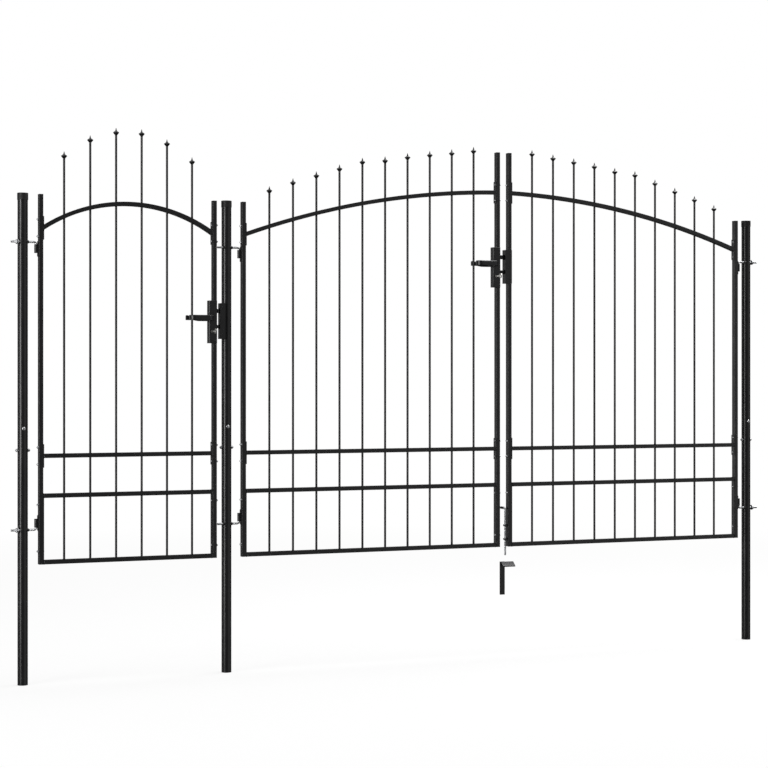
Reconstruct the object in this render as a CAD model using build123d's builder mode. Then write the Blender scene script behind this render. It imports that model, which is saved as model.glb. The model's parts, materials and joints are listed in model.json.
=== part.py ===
# Steel driveway gate set: a walk gate and a double-leaf drive gate that share three round posts.
# Origin: centre of the middle post's foot. +X runs along the gates to the right, +Y inwards, +Z up.
import os
from math import sqrt

from build123d import *

os.makedirs("parts", exist_ok=True)

# Posts and bays
post_height = 2300
post_diameter = 48
post_wall = 2
single_bay = 1000
double_bay = 3000
splice_height = 1070
spigot_clearance = 0.2
spigot_rise = 160
spigot_hold = 100
foot_thickness = 3
cap_skirt = 32
cap_wall = 1.5
cap_thickness = 3
cap_clearance = 0.15
cap_edge_chamfer = 1.2

# Tube of the stiles and rails: the face is seen from the front, the depth runs front to back
tube_face = 20
tube_depth = 30
tube_wall = 1.5
tube_corner_radius = 2
stile_cap_height = 6
stile_plug_length = 16
stile_plug_clearance = 0.2

# Leaf heights
leaf_bottom = 562
stile_below_post_top = 4
meeting_stile_rise = 306
lower_rail_z = 883
upper_rail_z = 1070
end_plate_height = 110
end_plate_thickness = 4

# Arched rails, measured on the rail's middle line from the tops of the stiles
arch_spring_drop = 158
single_arch_rise = 127
leaf_arch_meeting_drop = 207
leaf_arch_radius = 4317

# Pickets: bars of few sides, the outermost an end gap from the stiles
bar_diameter = 11
bar_sides = 12
bar_clearance = 0.15
single_bar_count = 6
single_bar_end_gap = 101.75
leaf_bar_count = 10
leaf_bar_end_gap = 125.65
tip_above_stile = 23
leaf_tip_fall = 247
single_tip_fall = 123
single_tip_shares = (0, 0.66, 1, 1, 0.66, 0)
leaf_tip_shares = (0, 0.18, 0.34, 0.5, 0.66, 0.71, 0.8, 0.87, 0.93, 1)
spear_flare = 12
spear_collar_diameter = 29
spear_collar_rim = 2
spear_waist_diameter = 9
spear_waist_rise = 8
spear_point = 22
spear_tip_diameter = 1.6

# Hinges: a threaded rod through the post, bent into a pin, and an eye on the stile
upper_hinge_drop = 229
lower_hinge_z = 725
hinge_reach = 59
rod_diameter = 10
rod_clearance = 0.2
rod_tail = 58
middle_rod_tail = 51
rod_bend_radius = 10
eye_height = 40
eye_diameter = 16
eye_clearance = 0.1
eye_stand_off = 1
eye_plate_thickness = 4
eye_plate_height = 74
eye_plate_width = 24
eye_plate_chamfer = 2.5
eye_neck_width = 9
pin_end_gap = 3

# Gaps between the leaves and what they close on
lock_gap = 34
meeting_gap = 47

# Locks
single_lock_drop = 568
double_lock_drop = 268
lock_case_width = 20
lock_case_wall = 1.5
lock_plate_thickness = 3
lock_plate_above = 83
lock_plate_below = 124
lock_axis_inset = 8.2
lock_plate_chamfer = 1.2
latch_rise = 33
latch_height = 20
bolt_drop = 43
bolt_height = 16
bolt_depth = 14
bolt_clearance = 0.5
latch_clearance_to_keep = 6
latch_tail = 7
deadbolt_tail = 17
latch_bevel = 6
cylinder_drop = 67
cylinder_diameter = 16
cylinder_stand_out = 3
cylinder_clearance = 0.1
plug_diameter = 10
plug_clearance = 0.1
plug_depth = 20

# Lever handles
spindle_size = 8
spindle_hole_diameter = 12
lever_length = 116
lever_above_axis = 11.5
lever_below_axis = 11.5
lever_swell_below_axis = 15.8
lever_swell_end = 48
lever_taper_end = 72
lever_thickness = 11
lever_edge_chamfer = 3
lever_bend_radius = 20
lever_neck_diameter = 22
lever_neck_length = 14
lever_stand_off = 26
lever_return_gap = 6
lever_plate_gap = 0.4

# Keys
key_bow_diameter = 25
key_bow_hole_diameter = 9
key_thickness = 2.6
key_shank_length = 44
key_shank_height = 8

# Keeps that the latch and the bolt enter
keep_width = 18
keep_above = 71
keep_below = 103
keep_plate_thickness = 3
keep_pocket_margin = 2.5
keep_pocket_depth = 16
keep_lap = 9
keep_seat_clearance = 0.2

# Drop bolt on the right leaf
drop_rod_diameter = 10
drop_rod_foot_z = 517
drop_rod_top_z = 761
drop_rod_off = 11
drop_bend_radius = 12
drop_handle_length = 14
drop_knob_diameter = 12.5
drop_knob_length = 38
drop_guide_z = (601, 672)
drop_guide_height = 9
drop_guide_depth = 18
drop_guide_lip = 7
drop_guide_clearance = 0.3
drop_guide_plate_height = 18
drop_guide_plate_depth = 26
drop_guide_plate_thickness = 2.5

# Ground stop
stop_stake_width = 28
stop_stake_thickness = 5
stop_stake_foot_z = 315
stop_stake_from_rod = 37.7
stop_top_z = 486
stop_clear_of_rod = 6
stop_plate_width = 70
stop_plate_thickness = 4
stop_plate_lean = 25
stop_plate_rise = 21
stop_plate_from_rod = 31.3

# One overrun serves all cuts
overrun = 5

# Places that follow from the sizes above
leaf_y = -tube_depth / 2
post_radius = post_diameter / 2
left_post_x = -single_bay
right_post_x = double_bay
spigot_radius = post_radius - post_wall - spigot_clearance
stile_face_reach = hinge_reach + eye_diameter / 2 + eye_plate_thickness
bar_radius = bar_diameter / 2
rod_radius = rod_diameter / 2
stile_top = post_height - stile_below_post_top
meeting_stile_top = stile_top + meeting_stile_rise
arch_spring_z = stile_top - arch_spring_drop
leaf_arch_meeting_z = meeting_stile_top - leaf_arch_meeting_drop
tip_high_z = meeting_stile_top + tip_above_stile
upper_hinge_z = post_height - upper_hinge_drop
single_lock_z = stile_top - single_lock_drop
double_lock_z = stile_top - double_lock_drop
bottom_rail_z = leaf_bottom + tube_face / 2
lower_rail_top = lower_rail_z + tube_face / 2
lock_front_y = leaf_y - tube_depth / 2 - lock_plate_thickness
lock_back_y = leaf_y + tube_depth / 2 + lock_plate_thickness
meeting_x = double_bay / 2
leaf_plane = Plane.XZ.offset(-leaf_y)


def save(builder, node):
    """Label a finished piece and write its STEP file."""
    builder.part.label = node
    export_step(builder.part, f"parts/{node}.step")


def bar_places(low_x, high_x, count, end_gap):
    """X of each picket, evenly spaced between the end gaps of a leaf."""
    pitch = (high_x - low_x - 2 * end_gap) / (count - 1)
    return [low_x + end_gap + i * pitch for i in range(count)]


def cut_bar_holes(bar_xs, z, height):
    """Holes in a rail for the pickets that pass through it."""
    with BuildSketch(Plane.XY.offset(z)) as holes:
        with Locations(*[(x, leaf_y) for x in bar_xs]):
            RegularPolygon(bar_radius + bar_clearance, bar_sides)
    extrude(holes.sketch, amount=height / 2, both=True, mode=Mode.SUBTRACT)


# Posts
def build_post(name, x):
    """Lower tube with its spigot, and the upper tube that drops over it."""
    with BuildPart() as lower:
        with Locations((x, 0, 0)):
            Cylinder(post_radius, splice_height, align=(Align.CENTER, Align.CENTER, Align.MIN))
        with Locations((x, 0, splice_height)):
            Cylinder(spigot_radius, spigot_rise, align=(Align.CENTER, Align.CENTER, Align.MIN))
        with Locations((x, 0, foot_thickness)):
            Cylinder(post_radius - post_wall, splice_height - spigot_hold - foot_thickness,
                     align=(Align.CENTER, Align.CENTER, Align.MIN), mode=Mode.SUBTRACT)
        with Locations((x, 0, splice_height - spigot_hold)):
            Cylinder(spigot_radius - post_wall, spigot_hold + spigot_rise,
                     align=(Align.CENTER, Align.CENTER, Align.MIN), mode=Mode.SUBTRACT)
        with Locations((x, leaf_y, lower_hinge_z)):
            Cylinder(rod_radius + rod_clearance, post_diameter, rotation=(0, 90, 0), mode=Mode.SUBTRACT)
    save(lower, f"{name}_post_lower")

    upper_length = post_height - cap_thickness - splice_height
    with BuildPart() as upper:
        with Locations((x, 0, splice_height)):
            Cylinder(post_radius, upper_length, align=(Align.CENTER, Align.CENTER, Align.MIN))
            Cylinder(post_radius - post_wall, upper_length,
                     align=(Align.CENTER, Align.CENTER, Align.MIN), mode=Mode.SUBTRACT)
        with Locations((x, leaf_y, upper_hinge_z)):
            Cylinder(rod_radius + rod_clearance, post_diameter, rotation=(0, 90, 0), mode=Mode.SUBTRACT)
    save(upper, f"{name}_post_upper")


for post_name, post_x in (("left", left_post_x), ("middle", 0), ("right", right_post_x)):
    build_post(post_name, post_x)

# Push-on post caps
cap_bore_radius = post_radius + cap_clearance
with BuildPart() as post_caps:
    with Locations(*[(x, 0, post_height) for x in (left_post_x, 0, right_post_x)]):
        Cylinder(cap_bore_radius + cap_wall, cap_skirt, align=(Align.CENTER, Align.CENTER, Align.MAX))
    chamfer(post_caps.faces().filter_by(GeomType.PLANE).group_by(Axis.Z)[-1].edges(), cap_edge_chamfer)
    with Locations(*[(x, 0, post_height - cap_thickness) for x in (left_post_x, 0, right_post_x)]):
        Cylinder(cap_bore_radius, cap_skirt, align=(Align.CENTER, Align.CENTER, Align.MAX),
                 mode=Mode.SUBTRACT)
save(post_caps, "post_caps")


# Hinges
def add_hinge_rod(x, side, tail, rod_z, pin_way):
    """A rod through a post, bent up (pin_way 1) or down (-1) into the pin that the eye turns on."""
    pin_x = x + side * hinge_reach
    pin_end_z = rod_z + pin_way * (rod_bend_radius + eye_stand_off + eye_height - pin_end_gap)
    with BuildLine() as route:
        FilletPolyline((x - side * tail, leaf_y, rod_z), (pin_x, leaf_y, rod_z), (pin_x, leaf_y, pin_end_z),
                       radius=rod_bend_radius)
    with BuildSketch(Plane(origin=route.line @ 0, z_dir=route.line % 0)) as section:
        Circle(rod_radius)
    sweep(sections=section.sketch, path=route.line)


with BuildPart() as hinge_rods:
    for post_x, side, tail in (
        (left_post_x, 1, rod_tail),
        (0, 1, middle_rod_tail),
        (right_post_x, -1, rod_tail),
    ):
        add_hinge_rod(post_x, side, tail, upper_hinge_z, -1)
        add_hinge_rod(post_x, side, tail, lower_hinge_z, 1)
save(hinge_rods, "hinge_rods")


def build_hinge_eyes(name, post_x, side):
    """Upper and lower eye: a sleeve on a short neck and a plate against the stile's outer face."""
    pin_x = post_x + side * hinge_reach
    plate_x = post_x + side * (stile_face_reach - eye_plate_thickness / 2)
    neck_length = eye_diameter / 2
    eye_shift = rod_bend_radius + eye_stand_off + eye_height / 2
    eye_zs = (upper_hinge_z - eye_shift, lower_hinge_z + eye_shift)
    with BuildPart() as eyes:
        with Locations(*[(plate_x, leaf_y, z) for z in eye_zs]):
            Box(eye_plate_thickness, eye_plate_width, eye_plate_height)
        outer_faces = eyes.faces().filter_by(Axis.X).group_by(Axis.X)[0 if side > 0 else -1]
        chamfer(outer_faces.edges().filter_by(Axis.Y), eye_plate_chamfer)
        with Locations(*[(pin_x + side * neck_length / 2, leaf_y, z) for z in eye_zs]):
            Box(neck_length, eye_neck_width, eye_height)
        with Locations(*[(pin_x, leaf_y, z) for z in eye_zs]):
            Cylinder(eye_diameter / 2, eye_height)
            Cylinder(rod_radius + eye_clearance, eye_height, mode=Mode.SUBTRACT)
    save(eyes, f"{name}_hinge_eyes")


# Leaves
def build_stile(node, x, top_z, inner_side, slot_zs):
    """Upright tube with a plate along its foot and, on a lock stile, slots for the latch and the bolt."""
    length = top_z - stile_cap_height - leaf_bottom
    with BuildPart() as stile:
        with BuildSketch(Plane.XY.offset(leaf_bottom)):
            with Locations((x, leaf_y)):
                RectangleRounded(tube_face, tube_depth, tube_corner_radius)
                Rectangle(tube_face - 2 * tube_wall, tube_depth - 2 * tube_wall, mode=Mode.SUBTRACT)
        extrude(amount=length)
        for slot_z, slot_height in slot_zs:
            with Locations((x, leaf_y, slot_z)):
                Box(tube_face + overrun, bolt_depth + 2 * bolt_clearance, slot_height + 2 * bolt_clearance,
                    mode=Mode.SUBTRACT)
        with Locations((x + inner_side * tube_face / 2, leaf_y, leaf_bottom)):
            Box(end_plate_thickness, tube_depth - 2 * tube_corner_radius, lower_rail_top - leaf_bottom,
                align=(Align.MIN if inner_side > 0 else Align.MAX, Align.CENTER, Align.MIN))
    save(stile, node)


def build_stile_caps(node, places):
    """Push-in plastic caps on top of a leaf's two stiles."""
    with BuildPart() as caps:
        for x, top_z in places:
            with BuildSketch(Plane.XY.offset(top_z)):
                with Locations((x, leaf_y)):
                    RectangleRounded(tube_face, tube_depth, tube_corner_radius)
            extrude(amount=-stile_cap_height)
            with Locations((x, leaf_y, top_z - stile_cap_height)):
                Box(tube_face - 2 * tube_wall - 2 * stile_plug_clearance,
                    tube_depth - 2 * tube_wall - 2 * stile_plug_clearance,
                    stile_plug_length, align=(Align.CENTER, Align.CENTER, Align.MAX))
    save(caps, node)


def build_rails(name, low_x, high_x, bar_xs):
    """Straight rails between the stiles' inner faces: the upper one is bolted on by end plates."""
    middle = (low_x + high_x) / 2
    with BuildPart() as upper_rail:
        with Locations((middle, leaf_y, upper_rail_z)):
            Box(high_x - low_x, tube_depth, tube_face)
        for x, way in ((low_x, Align.MIN), (high_x, Align.MAX)):
            with Locations((x, leaf_y, upper_rail_z)):
                Box(end_plate_thickness, tube_depth, end_plate_height,
                    align=(way, Align.CENTER, Align.CENTER))
        cut_bar_holes(bar_xs, upper_rail_z, tube_face)
    save(upper_rail, f"{name}_upper_rail")

    foot_length = high_x - low_x - 2 * end_plate_thickness
    with BuildPart() as foot_rails:
        with Locations((middle, leaf_y, lower_rail_z), (middle, leaf_y, bottom_rail_z)):
            Box(foot_length, tube_depth, tube_face)
        cut_bar_holes(bar_xs, lower_rail_z, tube_face)
    save(foot_rails, f"{name}_lower_rails")


def build_arch(node, low_x, high_x, low_z, high_z, radius, bar_xs):
    """Curved top rail: a ring cut off at the stiles, with an end plate at each end."""
    chord_x = high_x - low_x
    chord_z = high_z - low_z
    chord = sqrt(chord_x**2 + chord_z**2)
    drop = sqrt(radius**2 - (chord / 2) ** 2)
    centre_x = (low_x + high_x) / 2 + drop * chord_z / chord
    centre_z = (low_z + high_z) / 2 - drop * chord_x / chord
    crown_z = centre_z + radius
    keep_height = crown_z + tube_face - min(low_z, high_z) + end_plate_height
    with BuildPart() as arch:
        with BuildSketch(leaf_plane):
            with Locations((centre_x, centre_z)):
                Circle(radius + tube_face / 2)
                Circle(radius - tube_face / 2, mode=Mode.SUBTRACT)
            with Locations(((low_x + high_x) / 2, crown_z + tube_face)):
                Rectangle(chord_x, keep_height, align=(Align.CENTER, Align.MAX), mode=Mode.INTERSECT)
        extrude(amount=tube_depth / 2, both=True)
        for x, z, way in ((low_x, low_z, Align.MIN), (high_x, high_z, Align.MAX)):
            with Locations((x, leaf_y, z)):
                Box(end_plate_thickness, tube_depth, end_plate_height,
                    align=(way, Align.CENTER, Align.CENTER))
        cut_bar_holes(bar_xs, crown_z, 2 * keep_height)
    save(arch, node)


def build_pickets(node, bar_xs, tip_zs):
    """Bars from the bottom rail up, each drawn out into a collared spear point."""
    foot_z = bottom_rail_z + tube_face / 2
    with BuildPart() as pickets:
        for x, tip_z in zip(bar_xs, tip_zs):
            collar_z = tip_z - spear_point
            outline = ((foot_z, bar_diameter), (collar_z - spear_flare, bar_diameter),
                       (collar_z - spear_collar_rim / 2, spear_collar_diameter),
                       (collar_z + spear_collar_rim / 2, spear_collar_diameter),
                       (collar_z + spear_waist_rise, spear_waist_diameter), (tip_z, spear_tip_diameter))
            for z, diameter in outline:
                with BuildSketch(Plane.XY.offset(z)):
                    with Locations((x, leaf_y)):
                        RegularPolygon(diameter / 2, bar_sides)
            loft(ruled=True)
    save(pickets, node)


def build_leaf(name, low_x, high_x, hinge_side, tops, arch_ends, arch_radius, bars, tip_range, slots):
    """One leaf: low_x and high_x are the stiles' outer faces, hinge_side is -1 with the hinges at low_x."""
    low_top, high_top = tops
    low_arch_z, high_arch_z = arch_ends
    bar_count, end_gap, tip_shares = bars
    tip_low, tip_high = tip_range
    low_slots, high_slots = ((), slots) if hinge_side < 0 else (slots, ())
    low_node, high_node = ("hinge_stile", "lock_stile") if hinge_side < 0 else ("lock_stile", "hinge_stile")
    low_stile_x = low_x + tube_face / 2
    high_stile_x = high_x - tube_face / 2
    inner_low_x = low_x + tube_face
    inner_high_x = high_x - tube_face
    bar_xs = bar_places(inner_low_x, inner_high_x, bar_count, end_gap)
    tip_zs = [tip_low + share * (tip_high - tip_low) for share in tip_shares]
    build_stile(f"{name}_{low_node}", low_stile_x, low_top, 1, low_slots)
    build_stile(f"{name}_{high_node}", high_stile_x, high_top, -1, high_slots)
    build_stile_caps(f"{name}_stile_caps", ((low_stile_x, low_top), (high_stile_x, high_top)))
    build_rails(name, inner_low_x, inner_high_x, bar_xs)
    build_arch(f"{name}_arch_rail", inner_low_x, inner_high_x, low_arch_z, high_arch_z, arch_radius, bar_xs)
    build_pickets(f"{name}_pickets", bar_xs, tip_zs)


# Walk gate between the left and the middle post, hinged on the left
single_low_x = left_post_x + stile_face_reach
single_high_x = -post_radius - lock_gap
single_half_span = (single_high_x - single_low_x) / 2 - tube_face
single_arch_radius = (single_half_span**2 + single_arch_rise**2) / (2 * single_arch_rise)
single_slots = ((single_lock_z + latch_rise, latch_height), (single_lock_z - bolt_drop, bolt_height))
build_leaf("single_gate", single_low_x, single_high_x, -1, (stile_top, stile_top),
           (arch_spring_z, arch_spring_z), single_arch_radius,
           (single_bar_count, single_bar_end_gap, single_tip_shares),
           (tip_high_z - single_tip_fall, tip_high_z), single_slots)
build_hinge_eyes("single_gate", left_post_x, 1)

# Drive gate, left leaf: hinged on the middle post, carries the lock
left_low_x = stile_face_reach
left_high_x = meeting_x - meeting_gap / 2
double_slots = ((double_lock_z + latch_rise, latch_height), (double_lock_z - bolt_drop, bolt_height))
build_leaf("left_leaf", left_low_x, left_high_x, -1, (stile_top, meeting_stile_top),
           (arch_spring_z, leaf_arch_meeting_z), leaf_arch_radius,
           (leaf_bar_count, leaf_bar_end_gap, leaf_tip_shares), (tip_high_z - leaf_tip_fall, tip_high_z),
           double_slots)
build_hinge_eyes("left_leaf", 0, 1)

# Drive gate, right leaf: hinged on the right post, carries the keep and the drop bolt
right_low_x = meeting_x + meeting_gap / 2
right_high_x = right_post_x - stile_face_reach
build_leaf("right_leaf", right_low_x, right_high_x, 1, (meeting_stile_top, stile_top),
           (leaf_arch_meeting_z, arch_spring_z), leaf_arch_radius,
           (leaf_bar_count, leaf_bar_end_gap, leaf_tip_shares[::-1]),
           (tip_high_z - leaf_tip_fall, tip_high_z), ())
build_hinge_eyes("right_leaf", right_post_x, -1)


# Locks
def build_lock_case(node, stile_high_x, lock_z):
    """Open-sided box against the stile's inner face, between a front and a back plate that span both."""
    case_high_x = stile_high_x - tube_face
    case_low_x = case_high_x - lock_case_width
    axis_x = case_high_x - lock_axis_inset
    middle_z = lock_z + (lock_plate_above - lock_plate_below) / 2
    height = lock_plate_above + lock_plate_below
    with BuildPart() as case:
        for face_y, way in ((lock_front_y, Align.MIN), (lock_back_y, Align.MAX)):
            with Locations((case_low_x, face_y, middle_z)):
                Box(lock_case_width + tube_face, lock_plate_thickness, height,
                    align=(Align.MIN, way, Align.CENTER))
        chamfer(case.faces().sort_by(Axis.Y)[0].edges(), lock_plate_chamfer)
        chamfer(case.faces().sort_by(Axis.Y)[-1].edges(), lock_plate_chamfer)
        with Locations((case_high_x, leaf_y, middle_z)):
            Box(lock_case_width, tube_depth, height, align=(Align.MAX, Align.CENTER, Align.CENTER))
            Box(lock_case_width - lock_case_wall, tube_depth - 2 * lock_case_wall,
                height - 2 * lock_case_wall,
                align=(Align.MAX, Align.CENTER, Align.CENTER), mode=Mode.SUBTRACT)
        with Locations((axis_x, leaf_y, lock_z)):
            Cylinder(spindle_hole_diameter / 2, 2 * tube_depth, rotation=(90, 0, 0), mode=Mode.SUBTRACT)
        with Locations((axis_x, leaf_y, lock_z - cylinder_drop)):
            Cylinder(cylinder_diameter / 2 + cylinder_clearance, 2 * tube_depth, rotation=(90, 0, 0),
                     mode=Mode.SUBTRACT)
    save(case, node)


def build_lock_cylinder(node, axis_x, lock_z):
    """Key cylinder through the lock, bored at the front for the turning plug."""
    length = lock_back_y - lock_front_y + 2 * cylinder_stand_out
    front_y = lock_front_y - cylinder_stand_out
    with BuildPart() as cylinder:
        with BuildSketch(Plane.XZ.offset(-front_y)):
            with Locations((axis_x, lock_z - cylinder_drop)):
                Circle(cylinder_diameter / 2)
        extrude(amount=-length)
        with BuildSketch(Plane.XZ.offset(-front_y)):
            with Locations((axis_x, lock_z - cylinder_drop)):
                Circle(plug_diameter / 2 + plug_clearance)
        extrude(amount=-plug_depth - plug_clearance, mode=Mode.SUBTRACT)
    save(cylinder, node)


def build_key(node, axis_x, lock_z):
    """Turning plug with the key in it: a flat shank and a round bow with a hole."""
    key_z = lock_z - cylinder_drop
    front_y = lock_front_y - cylinder_stand_out
    bow_y = front_y - key_shank_length - key_bow_diameter / 2
    with BuildPart() as key:
        with BuildSketch(Plane.XZ.offset(-front_y)):
            with Locations((axis_x, key_z)):
                Circle(plug_diameter / 2)
        extrude(amount=-plug_depth)
        with BuildSketch(Plane.YZ.offset(axis_x)):
            with Locations((bow_y, key_z)):
                Circle(key_bow_diameter / 2)
            with Locations((bow_y, key_z)):
                Rectangle(front_y - bow_y, key_shank_height, align=(Align.MIN, Align.CENTER))
            with Locations((bow_y, key_z)):
                Circle(key_bow_hole_diameter / 2, mode=Mode.SUBTRACT)
        extrude(amount=key_thickness / 2, both=True)
    save(key, node)


def build_lever(node, axis_x, lock_z):
    """Front and back lever on one square spindle: a flat bar bent out from the lock and back at its end."""
    end_x = axis_x - lever_length + lever_thickness / 2
    bar_z = lock_z + (lever_above_axis - lever_swell_below_axis) / 2
    under_z = lock_z - lever_below_axis
    swell_z = lock_z - lever_swell_below_axis
    taper_x = axis_x - lever_taper_end
    swell_x = axis_x - lever_swell_end
    far_x = axis_x - lever_length - overrun
    lever_reach = lock_back_y - lock_front_y + 2 * (lever_stand_off + lever_thickness)
    with BuildPart() as lever:
        for face_y, way in ((lock_front_y, -1), (lock_back_y, 1)):
            foot_y = face_y + way * lever_plate_gap
            grip_y = face_y + way * (lever_stand_off + lever_thickness / 2)
            with BuildLine() as route:
                FilletPolyline((axis_x, foot_y, bar_z), (axis_x, grip_y, bar_z), (end_x, grip_y, bar_z),
                               (end_x, face_y + way * lever_return_gap, bar_z), radius=lever_bend_radius)
            with BuildSketch(Plane(origin=route.line @ 0, x_dir=(1, 0, 0), z_dir=route.line % 0)) as section:
                Rectangle(lever_thickness, lever_above_axis + lever_swell_below_axis)
                chamfer(section.vertices(), lever_edge_chamfer)
            sweep(path=route.line)
            with BuildSketch(Plane.XZ.offset(-foot_y)):
                with Locations((axis_x, lock_z)):
                    Circle(lever_neck_diameter / 2)
            extrude(amount=-way * lever_neck_length)
        with BuildSketch(leaf_plane):
            with BuildLine():
                Polyline((far_x, under_z), (taper_x, under_z), (swell_x, swell_z),
                         (swell_x, swell_z - overrun), (far_x, swell_z - overrun), close=True)
            make_face()
        extrude(amount=lever_reach / 2 + overrun, both=True, mode=Mode.SUBTRACT)
        with Locations((axis_x, leaf_y, lock_z)):
            Box(spindle_size, lock_back_y - lock_front_y + 2 * lever_neck_length, spindle_size)
    save(lever, node)


def build_bolts(name, stile_high_x, lock_z, keep_gap):
    """Bevelled spring latch and square deadbolt, both standing just short of the keep at rest."""
    case_high_x = stile_high_x - tube_face
    nose_x = stile_high_x + keep_gap - latch_clearance_to_keep
    latch_z = lock_z + latch_rise
    with BuildPart() as latch:
        with BuildSketch(Plane.XY.offset(latch_z)) as outline:
            with Locations((nose_x, leaf_y)):
                Rectangle(nose_x - case_high_x + latch_tail, bolt_depth, align=(Align.MAX, Align.CENTER))
            chamfer(outline.vertices().group_by(Axis.X)[-1].sort_by(Axis.Y)[0], latch_bevel)
        extrude(amount=latch_height / 2, both=True)
    save(latch, f"{name}_latch")

    with BuildPart() as deadbolt:
        with Locations((nose_x, leaf_y, lock_z - bolt_drop)):
            Box(nose_x - case_high_x + deadbolt_tail, bolt_depth, bolt_height,
                align=(Align.MAX, Align.CENTER, Align.CENTER))
    save(deadbolt, f"{name}_deadbolt")


def cut_keep_pockets(face_x, lock_z):
    """Pockets in a keep's face for the latch and the bolt."""
    for pocket_z, height in ((lock_z + latch_rise, latch_height), (lock_z - bolt_drop, bolt_height)):
        with Locations((face_x, leaf_y, pocket_z)):
            Box(keep_pocket_depth, bolt_depth + 2 * keep_pocket_margin, height + 2 * keep_pocket_margin,
                align=(Align.MIN, Align.CENTER, Align.CENTER), mode=Mode.SUBTRACT)


keep_depth = tube_depth + 2 * keep_plate_thickness
keep_height = keep_above + keep_below
keep_middle_shift = (keep_above - keep_below) / 2
single_keep_x = -post_radius - keep_width
double_keep_x = right_low_x - keep_width
for lock_name, lock_stile_x, lock_z, keep_x in (
    ("single", single_high_x, single_lock_z, single_keep_x),
    ("double", left_high_x, double_lock_z, double_keep_x),
):
    lock_axis_x = lock_stile_x - tube_face - lock_axis_inset
    build_lock_case(f"{lock_name}_lock_case", lock_stile_x, lock_z)
    build_lock_cylinder(f"{lock_name}_lock_cylinder", lock_axis_x, lock_z)
    build_key(f"{lock_name}_key", lock_axis_x, lock_z)
    build_lever(f"{lock_name}_lever", lock_axis_x, lock_z)
    build_bolts(lock_name, lock_stile_x, lock_z, keep_x - lock_stile_x)

# Keep on the middle post, saddled to the round tube
with BuildPart() as single_keep:
    with Locations((single_keep_x, leaf_y, single_lock_z + keep_middle_shift)):
        Box(keep_width + keep_lap, keep_depth, keep_height, align=(Align.MIN, Align.CENTER, Align.CENTER))
    with Locations((0, 0, single_lock_z)):
        Cylinder(post_radius + keep_seat_clearance, 2 * keep_height, mode=Mode.SUBTRACT)
    cut_keep_pockets(single_keep_x, single_lock_z)
save(single_keep, "single_keep")

# Keep on the right leaf, lapped over the front and the back of its stile
with BuildPart() as double_keep:
    with Locations((double_keep_x, leaf_y, double_lock_z + keep_middle_shift)):
        Box(keep_width + tube_face, keep_depth, keep_height, align=(Align.MIN, Align.CENTER, Align.CENTER))
    with Locations((right_low_x, leaf_y, double_lock_z + keep_middle_shift)):
        Box(keep_width + tube_face, tube_depth, keep_height, align=(Align.MIN, Align.CENTER, Align.CENTER),
            mode=Mode.SUBTRACT)
    cut_keep_pockets(double_keep_x, double_lock_z)
save(double_keep, "double_keep")

# Drop bolt: a round rod beside the right leaf's stile, bent back into a handle with a knob
drop_x = right_low_x - drop_rod_off
handle_end_y = leaf_y + drop_handle_length
with BuildPart() as drop_rod:
    with BuildLine() as drop_route:
        FilletPolyline((drop_x, leaf_y, drop_rod_foot_z), (drop_x, leaf_y, drop_rod_top_z),
                       (drop_x, handle_end_y, drop_rod_top_z), radius=drop_bend_radius)
    with BuildSketch(Plane.XY.offset(drop_rod_foot_z)):
        with Locations((drop_x, leaf_y)):
            Circle(drop_rod_diameter / 2)
    sweep(path=drop_route.line)
    chamfer(drop_rod.edges().sort_by(Axis.Z)[0], drop_rod_diameter / 5)
save(drop_rod, "drop_bolt_rod")

with BuildPart() as drop_knob:
    with BuildSketch(Plane.XZ.offset(-handle_end_y)):
        with Locations((drop_x, drop_rod_top_z)):
            Circle(drop_knob_diameter / 2)
    extrude(amount=-drop_knob_length)
    chamfer(drop_knob.edges().group_by(Axis.Y)[-1], drop_knob_diameter / 4)
save(drop_knob, "drop_bolt_knob")

# Guides that carry the drop bolt on the stile's face
with BuildPart() as drop_guides:
    for guide_z in drop_guide_z:
        with Locations((right_low_x, leaf_y, guide_z)):
            Box(drop_rod_off + drop_guide_lip, drop_guide_depth, drop_guide_height,
                align=(Align.MAX, Align.CENTER, Align.CENTER))
            Box(drop_guide_plate_thickness, drop_guide_plate_depth, drop_guide_plate_height,
                align=(Align.MAX, Align.CENTER, Align.CENTER))
        with Locations((drop_x, leaf_y, guide_z)):
            Cylinder(drop_rod_diameter / 2 + drop_guide_clearance, drop_guide_plate_height,
                     mode=Mode.SUBTRACT)
save(drop_guides, "drop_bolt_guides")

# Ground stop: a flat stake in front of the drop bolt's foot, with a wider plate sloping down from its top
stop_back_y = leaf_y - drop_rod_diameter / 2 - stop_clear_of_rod
stop_front_y = stop_back_y - stop_stake_thickness
plate_nose_y = stop_front_y - stop_plate_lean
plate_nose_z = stop_top_z - stop_plate_rise
plate_seat = stop_plate_thickness * sqrt(stop_plate_lean**2 + stop_plate_rise**2) / stop_plate_lean
with BuildPart() as stop_stake:
    with Locations((drop_x - stop_stake_from_rod, stop_back_y, stop_stake_foot_z)):
        Box(stop_stake_width, stop_stake_thickness, stop_top_z - stop_stake_foot_z,
            align=(Align.MIN, Align.MAX, Align.MIN))
save(stop_stake, "ground_stop_stake")

with BuildPart() as stop_plate:
    with BuildSketch(Plane.YZ.offset(drop_x - stop_plate_from_rod)):
        with BuildLine():
            Polyline((stop_front_y, stop_top_z), (plate_nose_y, plate_nose_z),
                     (plate_nose_y, plate_nose_z - plate_seat), (stop_front_y, stop_top_z - plate_seat),
                     close=True)
        make_face()
    extrude(amount=stop_plate_width)
save(stop_plate, "ground_stop_plate")
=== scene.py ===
"""Looks of a black steel driveway gate set: coats, fasteners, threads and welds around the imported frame."""

import json
import math

import bmesh
import bpy
from mathutils import Matrix, Vector


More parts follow.
